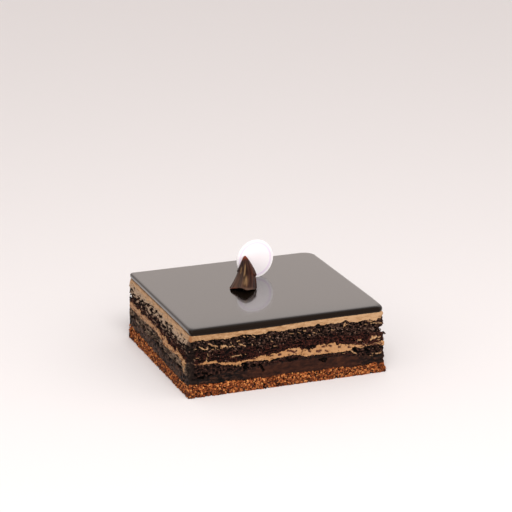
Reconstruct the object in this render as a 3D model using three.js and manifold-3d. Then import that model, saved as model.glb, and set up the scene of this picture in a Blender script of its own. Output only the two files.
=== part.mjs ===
// Opera cake: a square-cut layered chocolate cake under a mirror glaze, topped with a round card and a
// chocolate curl that leans on it. Millimetres, +Z up, front along -Y, origin under the middle of the cake.
//
// Every layer runs through the whole cake, so it shows on all four cut sides. Two neighbouring layers share
// one seam: a gently uneven surface over the cake's plan, held apart by a small gap.
import * as THREE from "three";
import { mergeVertices } from "three/addons/utils/BufferGeometryUtils.js";
import Module from "manifold-3d";

const wasm = await Module();
wasm.setup();

// ---------- driving dimensions ----------

const HALF_LENGTH = 69.8; // half the cake's length, along X
const HALF_DEPTH = 64.4; // half the cake's depth, along Y
const GLAZE_TOP = 49; // height of the glaze's flat top
const GAP = 0.3; // clearance between two pieces that touch

// Corner radii of the cut block in plan, anticlockwise from the front left.
const CORNERS = { frontLeft: 3, frontRight: 4, backRight: 9, backLeft: 3 };

// Points along each straight side and round each corner.
const LONG_SIDE_STEPS = 34;
const SHORT_SIDE_STEPS = 32;
const CORNER_STEPS = 4;

// The card that stands on the glaze, turned by some degrees from facing the front.
const CARD = { radius: 14, thickness: 1.2, x: 9.9, y: 22.4, sunk: 0.5, turn: 5, sides: 48 };

// The curl: a fluted chocolate horn with its tip against the card and its wide rim on the glaze.
const CURL = {
  tipX: 1.6, // the tip, in plan
  tipY: 20.2,
  tipHeight: 17.3, // above the glaze
  rimHeight: 0.56, // of the horn's axis where it ends, above the glaze
  run: 25.6, // level distance from the tip to the end of the axis
  heading: 246.8, // direction in plan from tip to rim, degrees from +X
  halfWidth: 9, // half the width of the rim
  arch: 6.1, // rise of the arch over the axis, at the rim
  spread: 0.6, // power of the distance from the tip by which the horn opens
  bow: 1.3, // how far the axis bends to the right, halfway
  crownReach: 0.15, // how much further the crown reaches than the sides, as a share of the axis
  ridge: 0.7, // power by which the arch is drawn up into a ridge
  wrap: 170, // degrees that the sheet wraps to each side of the crown
  wall: 0.9, // thickness of the chocolate
  core: 0.2, // least half-size of the inner arch, near the tip
  flutes: 7, // flutes round half a turn
  fluteDepth: 0.45,
  fluteTurn: 0.6, // where the flutes start, in radians
  blunt: 0.012, // share of the axis cut off at the tip
  stations: 11, // steps from tip to rim
  crowding: 1.4, // power that crowds the steps towards the tip
  ribs: 32, // steps across
};

// The curl's rim isn't even. Right of the crown a tongue of it reaches forward and lifts, the feet are set
// back, and the left half is lifted and spread a little.
const RIM = {
  turn: 18, // where the tongue is, degrees from the crown
  width: 28, // of the tongue, in degrees
  reach: 6.1, // how far forward the tongue reaches
  lift: 0.8, // how far up
  setBack: 3.9, // how far the rest is set back
  skew: 0.5, // how much further back the right foot is
  leftLift: 0.5,
  leftSpread: 0.8,
  pull: 3, // power of the distance from the tip by which all this sets in
};

// ---------- seams ----------

// A seam's height is its level, plus a rise to the right and to the back, plus broad swells at
// [x, y, rise, reach]. crumb is how far its edge wanders up and down. out is how far it stands out beyond the
// block on its [left, right, front, back], and round is how round its corners are, as a share of the block's.
const FRONT = -64;
const SEAM_SEED = 11;
const SEAMS = {
  underside: {
    level: 0,
    toRight: 0,
    toBack: 0,
    swells: [],
    crumb: 0,
    out: [0.9, 2.8, 0.3, 0.8],
    round: 0.35,
  },
  baseTop: {
    level: 8.9,
    toRight: -1,
    toBack: 0.5,
    swells: [[48, FRONT, -0.7, 16], [-40, FRONT, -0.5, 14], [-66, FRONT, 0.6, 10]],
    crumb: 0.5,
    out: [0.3, 1.2, 0.1, 0.2],
    round: 0.45,
  },
  ganacheTop: {
    level: 16.4,
    toRight: 0,
    toBack: 0.6,
    swells: [[8, FRONT, 2.6, 34], [62, FRONT, -2.6, 13], [-64, FRONT, -2.6, 13], [-29, FRONT, -1.2, 7]],
    crumb: 0.35,
    out: [0.2, 1.1, 0, 0],
    round: 0.5,
  },
  lowerCreamBottom: {
    level: 21.5,
    toRight: -1,
    toBack: 1.2,
    swells: [
      [-67, FRONT, 3.2, 15],
      [-39, FRONT, -0.9, 10],
      [-12, FRONT, 1.2, 13],
      [38, FRONT, -1, 16],
      [60, FRONT, 1, 10],
      [-70, 12, 1.6, 14],
      [-70, -18, -1.2, 12],
    ],
    crumb: 0.2,
    out: [0.2, 1.1, 0, 0],
    round: 0.5,
  },
  lowerCreamTop: {
    level: 25.3,
    toRight: -0.8,
    toBack: 1.8,
    swells: [
      [-64, FRONT, 1.9, 11],
      [-37, FRONT, -1.5, 12],
      [4, FRONT, 2.4, 8],
      [31, FRONT, 3.2, 14],
      [-70, 24, 1.6, 34],
    ],
    crumb: 0.3,
    out: [0.1, 1, 0, 0],
    round: 0.5,
  },
  upperCreamBottom: {
    level: 40.05,
    toRight: -0.2,
    toBack: 0.2,
    swells: [[-47, FRONT, -0.5, 9], [-19, FRONT, -0.6, 8], [22, FRONT, 1.4, 4], [62, FRONT, -0.4, 8]],
    crumb: 0.45,
    out: [-0.1, 0.4, 0, -0.1],
    round: 0.6,
  },
  glazeBottom: {
    level: 44.45,
    toRight: 0.1,
    toBack: 0.4,
    swells: [[-30, FRONT, -0.5, 30], [26, FRONT, 0.4, 20]],
    crumb: 0.06,
    out: [-0.9, 0.1, -0.1, -0.1],
    round: 0.9,
  },
};

function seamHeight(seam, x, y) {
  let height = seam.level + (seam.toRight * x) / HALF_LENGTH + (seam.toBack * y) / HALF_DEPTH;
  for (const [swellX, swellY, rise, reach] of seam.swells) {
    height += rise * Math.exp(-((x - swellX) ** 2 + (y - swellY) ** 2) / reach ** 2);
  }
  return height;
}

// ---------- layers ----------

// Each layer lies between two seams. rows are the rings of points between its two edges. crag is how rough
// its cut side is, and hollow is how far that side sits back from the straight cut.
const LAYERS = [
  {
    name: "crunch_base",
    from: "underside",
    to: "baseTop",
    rows: 4,
    crag: 0.55,
    hollow: 0.15,
    colour: 0x82492a,
  },
  {
    name: "ganache",
    from: "baseTop",
    to: "ganacheTop",
    rows: 2,
    crag: 0.15,
    hollow: 0,
    colour: 0x38251f,
  },
  {
    name: "lower_sponge",
    from: "ganacheTop",
    to: "lowerCreamBottom",
    rows: 2,
    crag: 0.45,
    hollow: 0.2,
    colour: 0x2b1d19,
  },
  {
    name: "lower_cream",
    from: "lowerCreamBottom",
    to: "lowerCreamTop",
    rows: 1,
    crag: 0.12,
    hollow: 0,
    colour: 0xc99c6e,
  },
  {
    name: "upper_sponge",
    from: "lowerCreamTop",
    to: "upperCreamBottom",
    rows: 6,
    crag: 0.6,
    hollow: 0.4,
    colour: 0x33201c,
  },
  {
    name: "upper_cream",
    from: "upperCreamBottom",
    to: "glazeBottom",
    rows: 1,
    crag: 0.1,
    hollow: 0,
    colour: 0xcda273,
  },
];
const LAYER_SEED = 101;
const SOFT_CREAM_ROUGHNESS = 0.6;
const CRUMB_ROUGHNESS = 0.95;

// The glaze's side, from its lower edge up: how far out from its seam, and how high between the seam and the
// top.
const GLAZE_SIDE = [
  { out: 0.35, up: 0.3 },
  { out: 0.45, up: 0.6 },
  { out: 0.15, up: 0.84 },
  { out: -0.5, up: 0.96 },
];
const GLAZE_SHOULDER = -1.7; // where the flat top begins, out from the seam
const INNER_RING = 0.88; // size of the ring inside each layer's edge, as a share of the block

// A repeatable stream of numbers from 0 to 1.
function seeded(seed) {
  let state = seed;
  return () => {
    state = (state + 0x6d2b79f5) | 0;
    let mixed = Math.imul(state ^ (state >>> 15), 1 | state);
    mixed = (mixed + Math.imul(mixed ^ (mixed >>> 7), 61 | mixed)) ^ mixed;
    return ((mixed ^ (mixed >>> 14)) >>> 0) / 2 ** 32;
  };
}

// The block's outline in plan: points with their outward directions, anticlockwise from the front left.
function blockOutline(round) {
  const outline = [];
  const corners = [
    { x: -1, y: -1, radius: CORNERS.frontLeft * round, steps: LONG_SIDE_STEPS },
    { x: 1, y: -1, radius: CORNERS.frontRight * round, steps: SHORT_SIDE_STEPS },
    { x: 1, y: 1, radius: CORNERS.backRight * round, steps: LONG_SIDE_STEPS },
    { x: -1, y: 1, radius: CORNERS.backLeft * round, steps: SHORT_SIDE_STEPS },
  ];
  const centre = (corner) =>
    new THREE.Vector2(corner.x * (HALF_LENGTH - corner.radius), corner.y * (HALF_DEPTH - corner.radius));
  corners.forEach((corner, index) => {
    const next = corners[(index + 1) % corners.length];
    const startAngle = Math.PI + (index * Math.PI) / 2;
    for (let step = 0; step < CORNER_STEPS; step++) {
      const angle = startAngle + (step / CORNER_STEPS) * (Math.PI / 2);
      const out = new THREE.Vector2(Math.cos(angle), Math.sin(angle));
      outline.push({ point: centre(corner).addScaledVector(out, corner.radius), out });
    }
    const sideAngle = startAngle + Math.PI / 2;
    const out = new THREE.Vector2(Math.cos(sideAngle), Math.sin(sideAngle));
    const sideStart = centre(corner).addScaledVector(out, corner.radius);
    const sideEnd = centre(next).addScaledVector(out, next.radius);
    for (let step = 0; step < corner.steps; step++) {
      outline.push({ point: sideStart.clone().lerp(sideEnd, step / corner.steps), out });
    }
  });
  return outline;
}

const OUTLINE = blockOutline(1);
const AROUND = OUTLINE.length;

// Each seam's outline in plan, with the wander of its edge, the same for the layers above and below it.
const seamDraw = seeded(SEAM_SEED);
for (const seam of Object.values(SEAMS)) {
  const [left, right, front, back] = seam.out;
  seam.edge = blockOutline(seam.round).map(({ point, out }) => ({
    x: point.x + out.x * (out.x < 0 ? left : right),
    y: point.y + out.y * (out.y < 0 ? front : back),
    wander: seam.crumb * (2 * seamDraw() - 1),
  }));
}

// A seam's edge, or the ring inside it, lifted by a given amount.
function seamEdge(seam, lift) {
  return seam.edge.map(
    ({ x, y, wander }) => new THREE.Vector3(x, y, seamHeight(seam, x, y) + wander + lift),
  );
}

function seamInside(seam, lift) {
  const ring = [];
  for (let index = 0; index < AROUND; index += 2) {
    const x = OUTLINE[index].point.x * INNER_RING;
    const y = OUTLINE[index].point.y * INNER_RING;
    ring.push(new THREE.Vector3(x, y, seamHeight(seam, x, y) + lift));
  }
  return { ring, middle: new THREE.Vector3(0, 0, seamHeight(seam, 0, 0) + lift) };
}

// A closed geometry from rings of points, bottom to top, with a cap of inner ring and middle point at each
// end.
function stackedRings(rings, bottom, top) {
  const positions = [];
  const faces = [];
  const addPoint = (p) => positions.push(p.x, p.y, p.z) / 3 - 1;
  const ids = rings.map((ring) => ring.map(addPoint));
  for (let level = 0; level + 1 < ids.length; level++) {
    for (let i = 0; i < AROUND; i++) {
      const j = (i + 1) % AROUND;
      faces.push(ids[level][i], ids[level][j], ids[level + 1][j]);
      faces.push(ids[level][i], ids[level + 1][j], ids[level + 1][i]);
    }
  }
  const addCap = (edge, cap, facesUp) => {
    const inner = cap.ring.map(addPoint);
    const middle = addPoint(cap.middle);
    const face = (a, b, c) => faces.push(...(facesUp ? [a, b, c] : [a, c, b]));
    inner.forEach((here, k) => {
      const next = inner[(k + 1) % inner.length];
      const first = edge[2 * k];
      const second = edge[2 * k + 1];
      const third = edge[(2 * k + 2) % AROUND];
      face(first, second, here);
      face(second, next, here);
      face(second, third, next);
      face(here, next, middle);
    });
  };
  addCap(ids[0], bottom, false);
  addCap(ids[ids.length - 1], top, true);
  const geometry = new THREE.BufferGeometry();
  geometry.setAttribute("position", new THREE.Float32BufferAttribute(positions, 3));
  geometry.setIndex(faces);
  return geometry;
}

// A cut layer: its two edges, with craggy rings between them.
function layerGeometry(layer, seed) {
  const draw = seeded(seed);
  const isFoot = layer.from === "underside";
  const lower = SEAMS[layer.from];
  const upper = SEAMS[layer.to];
  const bottomLift = isFoot ? 0 : GAP / 2;
  const bottomEdge = seamEdge(lower, bottomLift);
  const topEdge = seamEdge(upper, -GAP / 2);
  const rings = [bottomEdge];
  for (let row = 1; row <= layer.rows; row++) {
    const share = row / (layer.rows + 1);
    rings.push(
      bottomEdge.map((low, index) => {
        const { out } = OUTLINE[index];
        const rough = layer.crag * (2 * draw() - 1) - layer.hollow;
        const point = low.clone().lerp(topEdge[index], share);
        return point.add(new THREE.Vector3(out.x * rough, out.y * rough, 0));
      }),
    );
  }
  rings.push(topEdge);
  return stackedRings(rings, seamInside(lower, bottomLift), seamInside(upper, -GAP / 2));
}

// The glaze: a smooth side that bulges a little and turns over in a round shoulder into a flat top.
function glazeGeometry() {
  const seam = SEAMS.glazeBottom;
  const bottomEdge = seamEdge(seam, GAP / 2);
  const moved = (out, up) =>
    bottomEdge.map((low, index) => {
      const way = OUTLINE[index].out;
      return new THREE.Vector3(low.x + way.x * out, low.y + way.y * out, low.z + (GLAZE_TOP - low.z) * up);
    });
  const rings = [bottomEdge];
  for (const { out, up } of GLAZE_SIDE) rings.push(moved(out, up));
  rings.push(moved(GLAZE_SHOULDER, 1));
  const top = seamInside(seam, 0);
  for (const point of [...top.ring, top.middle]) point.z = GLAZE_TOP;
  return stackedRings(rings, seamInside(seam, GAP / 2), top);
}

// ---------- cutting ----------

const MERGE_DISTANCE = 1e-4; // points closer than this are one point

function toSolid(geometry) {
  const bare = geometry.clone();
  bare.deleteAttribute("normal");
  bare.deleteAttribute("uv");
  const merged = mergeVertices(bare, MERGE_DISTANCE);
  return new wasm.Manifold(
    new wasm.Mesh({
      numProp: 3,
      vertProperties: new Float32Array(merged.attributes.position.array),
      triVerts: new Uint32Array(merged.index.array),
    }),
  );
}

function toGeometry(solid) {
  const { vertProperties, triVerts } = solid.getMesh();
  const geometry = new THREE.BufferGeometry();
  geometry.setAttribute("position", new THREE.BufferAttribute(vertProperties, 3));
  geometry.setIndex(new THREE.BufferAttribute(triVerts, 1));
  return geometry;
}

// ---------- card ----------

const CARD_CENTRE = new THREE.Vector3(CARD.x, CARD.y, GLAZE_TOP - CARD.sunk + CARD.radius);

// A disc that stands on its edge, made larger all over by a margin.
function cardGeometry(margin) {
  const radius = CARD.radius + margin;
  const disc = new THREE.CylinderGeometry(radius, radius, CARD.thickness + 2 * margin, CARD.sides);
  return disc.rotateZ(THREE.MathUtils.degToRad(CARD.turn));
}

// The glaze with the shallow slot that the card's lower edge stands in.
function slottedGlaze() {
  const slot = cardGeometry(GAP).translate(...CARD_CENTRE.toArray());
  return toGeometry(toSolid(glazeGeometry()).subtract(toSolid(slot)));
}

// ---------- curl ----------

// The curl's section at each station is a roll of chocolate with a slit along its foot: an outer arc and back
// along an inner one. Where the roll would dip into the glaze it lies flat on it.
function curlGeometry() {
  const drop = CURL.tipHeight - CURL.rimHeight;
  const heading = THREE.MathUtils.degToRad(CURL.heading);
  const slope = Math.atan2(drop, CURL.run);
  const level = new THREE.Vector3(Math.cos(heading), Math.sin(heading), 0);
  const sideways = new THREE.Vector3(-Math.sin(heading), Math.cos(heading), 0);
  const along = level.clone().multiplyScalar(Math.cos(slope)).setZ(-Math.sin(slope));
  const above = level.clone().multiplyScalar(Math.sin(slope)).setZ(Math.cos(slope));
  const axisLength = Math.hypot(drop, CURL.run);
  const tip = new THREE.Vector3(CURL.tipX, CURL.tipY, GLAZE_TOP + CURL.tipHeight);
  const wrap = THREE.MathUtils.degToRad(CURL.wrap);

  // How far the rim is moved from an even one.
  const rimShift = (turn) => {
    const offTongue = (THREE.MathUtils.radToDeg(turn) - RIM.turn) / RIM.width;
    const tongue = Math.exp(-(offTongue ** 2));
    const leftness = Math.max(-Math.sin(turn), 0);
    const archness = Math.max(Math.cos(turn), 0);
    const shift = level.clone().multiplyScalar(RIM.reach * tongue - RIM.setBack - RIM.skew * Math.sin(turn));
    shift.z = RIM.lift * tongue + RIM.leftLift * (1 - Math.sin(turn)) * archness;
    return shift.addScaledVector(sideways, -RIM.leftSpread * leftness);
  };

  const place = (share, turn, inward) => {
    const reach = share * (1 + CURL.crownReach * Math.cos(turn) * share);
    const open = Math.pow(share, CURL.spread);
    const flute = CURL.fluteDepth * share * Math.cos(CURL.flutes * turn + CURL.fluteTurn);
    const width = Math.max(CURL.halfWidth * open + flute - inward, CURL.core);
    const rise = Math.max(CURL.arch * open + flute - inward, CURL.core);
    const point = tip
      .clone()
      .addScaledVector(along, reach * axisLength)
      .addScaledVector(sideways, width * Math.sin(turn) + CURL.bow * Math.sin(Math.PI * share))
      .addScaledVector(above, rise * Math.cos(turn) * Math.abs(Math.cos(turn)) ** CURL.ridge)
      .addScaledVector(rimShift(turn), share ** RIM.pull);
    point.z = Math.max(point.z, GLAZE_TOP + GAP + inward);
    return point;
  };

  const positions = [];
  const faces = [];
  const around = 2 * (CURL.ribs + 1);
  for (let station = 0; station <= CURL.stations; station++) {
    const share = Math.max(Math.pow(station / CURL.stations, CURL.crowding), CURL.blunt);
    for (let k = 0; k < around; k++) {
      const isOuter = k <= CURL.ribs;
      const rib = isOuter ? k : around - 1 - k;
      const turn = ((2 * rib) / CURL.ribs - 1) * wrap;
      const point = place(share, turn, isOuter ? 0 : CURL.wall);
      positions.push(point.x, point.y, point.z);
    }
  }
  const id = (station, k) => station * around + (k % around);
  for (let station = 0; station < CURL.stations; station++) {
    for (let k = 0; k < around; k++) {
      faces.push(id(station, k), id(station + 1, k), id(station + 1, k + 1));
      faces.push(id(station, k), id(station + 1, k + 1), id(station, k + 1));
    }
  }
  for (let rib = 0; rib < CURL.ribs; rib++) {
    const inner = around - 1 - rib;
    faces.push(id(0, rib), id(0, rib + 1), id(0, inner));
    faces.push(id(0, rib + 1), id(0, inner - 1), id(0, inner));
    const last = CURL.stations;
    faces.push(id(last, rib), id(last, inner), id(last, rib + 1));
    faces.push(id(last, rib + 1), id(last, inner), id(last, inner - 1));
  }
  const geometry = new THREE.BufferGeometry();
  geometry.setAttribute("position", new THREE.Float32BufferAttribute(positions, 3));
  geometry.setIndex(faces);
  return geometry;
}

// ---------- the cake ----------

function addPiece(group, name, geometry, material) {
  geometry.computeVertexNormals();
  const mesh = new THREE.Mesh(geometry, material);
  mesh.name = name;
  group.add(mesh);
  return mesh;
}

function finish(color, roughness) {
  return new THREE.MeshStandardMaterial({ color, roughness, metalness: 0 });
}

const cake = new THREE.Group();
cake.name = "opera_cake";

LAYERS.forEach((layer, index) => {
  const roughness = layer.name.endsWith("cream") ? SOFT_CREAM_ROUGHNESS : CRUMB_ROUGHNESS;
  addPiece(cake, layer.name, layerGeometry(layer, LAYER_SEED + index), finish(layer.colour, roughness));
});
addPiece(cake, "glaze", slottedGlaze(), finish(0x1c1412, 0.08));
addPiece(cake, "chocolate_curl", curlGeometry(), finish(0x3a211a, 0.4));

const card = addPiece(cake, "topper_card", cardGeometry(0), finish(0xf4f1f4, 0.5));
card.position.copy(CARD_CENTRE);

export default cake;
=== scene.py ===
"""Opera cake: six cut layers under a mirror glaze, with a chocolate curl leaning on a round card.

Sizes and places are in millimetres until a mesh is written, and +Z is up with the front along -Y. The cut
sides are fine meshes laid between the same seams as the solids, and each layer's crumb is relief in its mesh.
"""
import math
from types import SimpleNamespace as Sizes

import bpy
import numpy as np
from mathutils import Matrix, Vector, noise


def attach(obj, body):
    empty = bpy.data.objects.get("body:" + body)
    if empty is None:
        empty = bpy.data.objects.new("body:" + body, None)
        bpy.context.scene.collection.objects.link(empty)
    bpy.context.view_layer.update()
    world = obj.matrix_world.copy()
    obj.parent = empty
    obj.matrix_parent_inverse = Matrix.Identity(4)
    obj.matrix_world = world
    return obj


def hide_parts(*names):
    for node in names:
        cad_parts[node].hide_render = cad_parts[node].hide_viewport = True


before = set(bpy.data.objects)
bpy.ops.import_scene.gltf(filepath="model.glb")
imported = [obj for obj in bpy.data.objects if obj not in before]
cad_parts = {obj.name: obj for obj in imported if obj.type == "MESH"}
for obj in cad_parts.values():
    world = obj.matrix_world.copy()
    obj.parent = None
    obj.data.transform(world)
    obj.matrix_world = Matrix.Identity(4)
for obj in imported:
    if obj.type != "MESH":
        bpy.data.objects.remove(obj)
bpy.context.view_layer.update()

MM = 0.001
UP = np.array([0, 0, 1])
SEED_SHIFT = np.array([17.3, -9.1, 5.7])  # how far apart the noise of one seed and the next is taken

# ---------- the block and its seams ----------

HALF_LENGTH = 69.8
HALF_DEPTH = 64.4
GLAZE_TOP = 49.0
FRONT = -64  # Y of the swells that show on the front

# Corners in plan, anticlockwise from the front left: side of X, side of Y, radius.
CORNERS = [(-1, -1, 3.0), (1, -1, 4.0), (1, 1, 9.0), (-1, 1, 3.0)]
COLUMN = 0.35  # width of a column of the fine side mesh
ROW = 0.36  # height of a row of it
MIN_ROWS = 6
CORNER_COLUMNS = 14
RIGHT_END = (64, 69)  # X over which the uneven right end sets in
SMEAR_LINE = 35.2  # height on the left side from which cream is smeared up over the sponge

# A seam's height is its level, a rise to the right and to the back, and swells of (x, y, rise, reach).
# out is how far its edge stands beyond the block on the (left, right, front, back), round is the share of
# the corner radii that it has, and ragged is how far its edge wanders up and down.
SEAMS = {
    "underside": Sizes(level=0, right=0, back=0, out=(0.9, 3.4, 0.3, 0.8), round=0.35, ragged=0, swells=[]),
    "base_top": Sizes(
        level=8.9, right=-1, back=0.5, out=(0.3, 1.9, 0.1, 0.2), round=0.45, ragged=0.55,
        swells=[(48, FRONT, -0.7, 16), (-40, FRONT, -0.5, 14), (-66, FRONT, 0.6, 10)],
    ),
    "ganache_top": Sizes(
        level=16.4, right=0, back=0.6, out=(0.2, 1.8, 0, 0), round=0.5, ragged=0.5,
        swells=[(8, FRONT, 2.6, 34), (62, FRONT, -2.6, 13), (-64, FRONT, -2.6, 13), (-29, FRONT, -1.2, 7)],
    ),
    "lower_cream_bottom": Sizes(
        level=21.5, right=-1, back=1.2, out=(0.2, 1.8, 0, 0), round=0.5, ragged=0.55,
        swells=[
            (-67, FRONT, 3.2, 15), (-39, FRONT, -0.9, 10), (-12, FRONT, 1.2, 13), (38, FRONT, -1, 16),
            (60, FRONT, 1, 10), (-70, 12, 1.6, 14), (-70, -18, -1.2, 12),
        ],
    ),
    "lower_cream_top": Sizes(
        level=25.3, right=-0.8, back=1.8, out=(0.1, 1.6, 0, 0), round=0.5, ragged=0.95,
        swells=[
            (-64, FRONT, 1.9, 11), (-37, FRONT, -1.5, 12), (4, FRONT, 2.4, 8), (31, FRONT, 3.2, 14),
            (-70, 24, 1.6, 34),
        ],
    ),
    "upper_cream_bottom": Sizes(
        level=40.05, right=-0.2, back=0.2, out=(-0.1, 0.4, 0, -0.1), round=0.6, ragged=0.7,
        swells=[(-47, FRONT, -0.5, 9), (-19, FRONT, -0.6, 8), (22, FRONT, 1.4, 4), (62, FRONT, -0.4, 8)],
    ),
    "glaze_bottom": Sizes(
        level=44.45, right=0.1, back=0.4, out=(-0.9, 0.1, -0.1, -0.1), round=0.9, ragged=0.1,
        swells=[(-30, FRONT, -0.5, 30), (26, FRONT, 0.4, 20)],
    ),
}


def seam_height(seam, x, y):
    height = seam.level + seam.right * x / HALF_LENGTH + seam.back * y / HALF_DEPTH
    for swell_x, swell_y, rise, reach in seam.swells:
        height = height + rise * np.exp(-((x - swell_x) ** 2 + (y - swell_y) ** 2) / reach**2)
    return height


def block_outline(roundness):
    """Points round the block, anticlockwise from the front left corner, and their outward directions."""
    corners = []
    for side_x, side_y, radius in CORNERS:
        radius *= roundness
        corners.append((radius, np.array([side_x * (HALF_LENGTH - radius), side_y * (HALF_DEPTH - radius)])))
    points = []
    outward = []
    for index, (radius, centre) in enumerate(corners):
        next_radius, next_centre = corners[(index + 1) % len(corners)]
        start = math.pi + index * math.pi / 2
        angles = start + np.linspace(0, math.pi / 2, CORNER_COLUMNS, endpoint=False)
        ways = np.column_stack([np.cos(angles), np.sin(angles)])
        way = np.array([math.cos(start + math.pi / 2), math.sin(start + math.pi / 2)])
        length = 2 * (HALF_LENGTH if index % 2 == 0 else HALF_DEPTH)
        share = np.linspace(0, 1, 4 * round(length / COLUMN / 4), endpoint=False)[:, None]
        side = (centre + radius * way) * (1 - share) + (next_centre + next_radius * way) * share
        points += [centre + radius * ways, side]
        outward += [ways, np.tile(way, (len(share), 1))]
    return np.vstack(points), np.vstack(outward)


OUTLINE, OUTWARD = block_outline(1)
COLUMNS = len(OUTLINE)

# The sides are counted anticlockwise from the front.
FRONT_SIDE = 0
LEFT_SIDE = 3

# Where a seam shows on the front, as (x, z), and on the left side, as (-y, z): its lumps, dips and smears.
CUT_LINES = {
    ("base_top", FRONT_SIDE): [
        (-67, 10.1), (-64, 9.8), (-57, 9.2), (-50, 8.9), (-48, 8.5), (-44, 9.4), (-36, 8.8), (-28, 8.4),
        (-24, 8.8), (-16, 8), (-8, 8.6), (5, 8.6), (15, 8), (20, 8.2), (25, 7.8), (28, 8.4), (36, 8.1),
        (40, 7.8), (48, 6.7), (52, 7.2), (56, 6.8), (60, 7.6), (64, 8), (69, 8.7),
    ],
    ("base_top", LEFT_SIDE): [
        (-64, 10.6), (-50, 9.9), (-30, 9.6), (-10, 8.8), (10, 8.4), (30, 7.7), (50, 7.5), (64, 9),
    ],
    ("lower_cream_bottom", FRONT_SIDE): [
        (-68, 23.4), (-62, 23.1), (-51, 23.1), (-49, 22.4), (-46, 21.2), (-43.4, 20.4), (-42.4, 21.2),
        (-41.2, 20.2), (-40, 21), (-38.6, 19.5), (-37.6, 20.6), (-36.6, 19.4), (-35.4, 20.3), (-34, 19.6),
        (-32, 21), (-25, 21), (-16, 20.6), (-13, 19.5), (-10, 20.6), (-2, 21.2), (3, 21.6), (8, 21),
        (12, 19.8), (14, 19.2), (17, 19.6), (22, 19.2), (28, 19.3), (36, 19), (43, 19.1), (46, 19.2),
        (46.8, 19.4), (47.4, 20.9), (48.6, 21.6), (50, 21.5), (51.2, 20.7), (53, 20.1), (55.4, 20),
        (57, 20.8), (60, 20.9), (64, 20.5), (69, 20.6),
    ],
    ("lower_cream_bottom", LEFT_SIDE): [
        (-64, 23.6), (-50, 23.8), (-40, 23.2), (-30, 23.6), (-20, 24), (-10, 24.6), (0, 24.2), (6, 23.4),
        (10, 21.2), (18, 21), (26, 21.4), (34, 22.2), (40, 23), (46, 22.8), (52, 21.8), (58, 22.8),
        (64, 23.4),
    ],
    ("lower_cream_top", FRONT_SIDE): [
        (-68, 23.9), (-66, 24.6), (-64, 23.8), (-61, 24), (-59, 25.2), (-56, 24.4), (-51, 24.8), (-49.8, 23),
        (-44, 22.5), (-41, 22), (-35, 22), (-30, 22.3), (-26, 22.5), (-24.6, 23.4), (-23, 23.5), (-22, 22.9),
        (-20, 23.8), (-17, 24.3), (-15, 23.1), (-13.6, 22.9), (-12, 24), (-9, 24.6), (-7.6, 23.4),
        (-6, 24.6), (-3, 25), (0, 26.2), (8.4, 26.3), (9.6, 24.6), (10.8, 24.2), (14, 24.4), (16, 22.8),
        (17.4, 23.5), (20, 24.2), (21.5, 25.6), (23, 26.5), (24, 25.6), (26.6, 26.4), (29.4, 24.8),
        (31, 25.9), (34.6, 26.3), (36, 23.8), (38, 24.4), (43, 24), (48, 22.8), (53, 22.2), (56, 21.5),
        (60, 21.6), (64, 21.9), (69, 21.9),
    ],
    ("lower_cream_top", LEFT_SIDE): [
        (-64, 27.6), (-55, 28.8), (-48, 28.4), (-44, 27.4), (-38, 28.4), (-34, 27.2), (-28, 27.6),
        (-20, 28.2), (-10, 28.6), (-4, 27.6), (0, 28), (8, 27.2), (18, 26.6), (22, 25.2), (28, 24.9),
        (30, 25.8), (34, 24.4), (36, 24.8), (39, 26.6), (44, 26.2), (50, 24.6), (56, 23.6), (64, 23.9),
    ],
    ("upper_cream_bottom", FRONT_SIDE): [
        (-69, 40.5), (-60, 40.4), (-58, 39.6), (-54, 40), (-46, 39.6), (-41, 39), (-38, 40), (-36, 39.6),
        (-32, 40.8), (-29.5, 40.6), (-28, 40), (-25, 40), (-22, 39.4), (-16, 39.3), (-14, 40.6), (-10, 40.2),
        (-8, 39.8), (-2, 39.4), (0, 40.4), (4, 40), (12, 40.6), (20, 40.2), (21, 41.2), (23, 41.6),
        (24, 40.1), (29, 40.2), (31, 40.7), (34, 40), (39, 40), (41.5, 41.4), (43, 41), (45, 39.4),
        (48, 39.6), (51, 38.7), (57, 40), (60, 39.4), (63, 38.5), (65, 38.6), (66, 40), (69, 40),
    ],
    ("upper_cream_bottom", LEFT_SIDE): [
        (-64, 42), (-56, 42.4), (-50, 41.8), (-44, 41), (-36, 41.6), (-30, 40.6), (-22, 40.2), (-15, 41),
        (-10, 41.4), (-5, 40.6), (2, 41.2), (8, 40), (16, 40.4), (20, 39.4), (27, 40.4), (34, 39.2),
        (48, 39.4), (64, 40.4),
    ],
    ("glaze_bottom", FRONT_SIDE): [
        (-68, 43.9), (-50, 43.5), (-40, 43.3), (-5, 43.2), (0, 43.6), (20, 44), (40, 44.1), (68, 44),
    ],
    ("glaze_bottom", LEFT_SIDE): [
        (-64, 44.7), (-30, 44.6), (0, 44.5), (30, 44.3), (50, 44.2), (64, 44.1),
    ],
}
CORNER_BLEND = 4.0  # how far from a corner a cut line runs into the seam's own height
LEFT_LOOSENESS = 0.85  # share of an undrawn line's wander that the lines of the left side keep


def cloud(points, size, seed):
    """Smooth noise from -1 to 1 at each point, with bumps about as large as size, one number or three."""
    moved = points / np.broadcast_to(np.array(size, float), 3) + SEED_SHIFT * seed
    return np.array([noise.noise(place) for place in moved.tolist()])


def step(value, low, high):
    """0 below low, 1 above high, and smooth between."""
    share = np.clip((value - low) / (high - low), 0, 1)
    return share * share * (3 - 2 * share)


def bell(value, middle, reach):
    """1 at the middle, and falling smoothly to nearly 0 at twice the reach from it."""
    return np.exp(-(((value - middle) / reach) ** 2))


def side_place(points, ways):
    """Each vertex's side, and its place along that side."""
    facing = np.column_stack([-ways[:, 1], ways[:, 0], ways[:, 1], -ways[:, 0]])
    side = facing.argmax(axis=1)
    return side, np.choose(side, [points[:, 0], points[:, 1], -points[:, 0], -points[:, 1]])


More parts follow.
